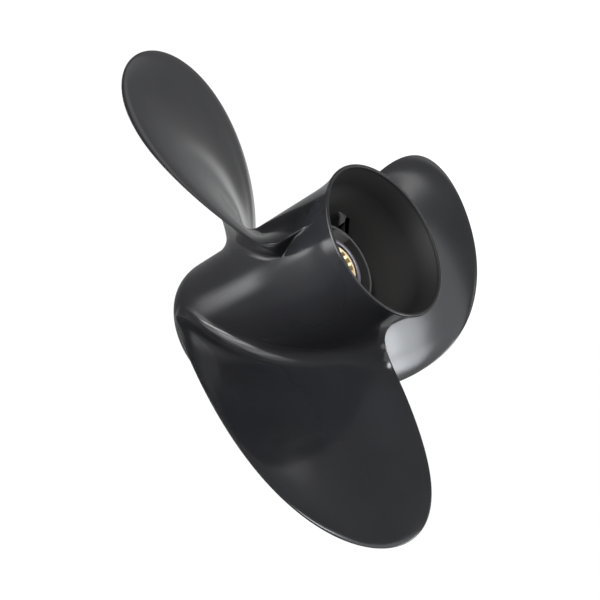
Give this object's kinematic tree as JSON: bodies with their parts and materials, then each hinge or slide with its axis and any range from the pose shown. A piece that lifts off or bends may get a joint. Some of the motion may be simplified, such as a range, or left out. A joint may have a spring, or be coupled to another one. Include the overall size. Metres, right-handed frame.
{
  "type": "outboard-motor propeller",
  "caption": "Right-hand boat propeller: wide rounded blades round a flared exhaust barrel, with webs, an inner hub, a rubber bush and a splined brass sleeve.",
  "frame": {"origin": "on the shaft's axis, in the plane of the barrel's front rim", "axes": "+Z along the shaft's axis towards the flared aft end; +X towards the tip of the first blade"},
  "size_m": [0.3052, 0.3255, 0.1471],
  "materials": {
    "black_paint": "gloss",
    "bush_steel": "satin",
    "bush_rubber": "matte",
    "sleeve_brass": "satin"
  },
  "bodies": {
    "root": {"propeller_casting": "black_paint", "bush_shell": "bush_steel", "rubber_bush": "bush_rubber", "splined_sleeve": "sleeve_brass"}
  },
  "joints": []
}
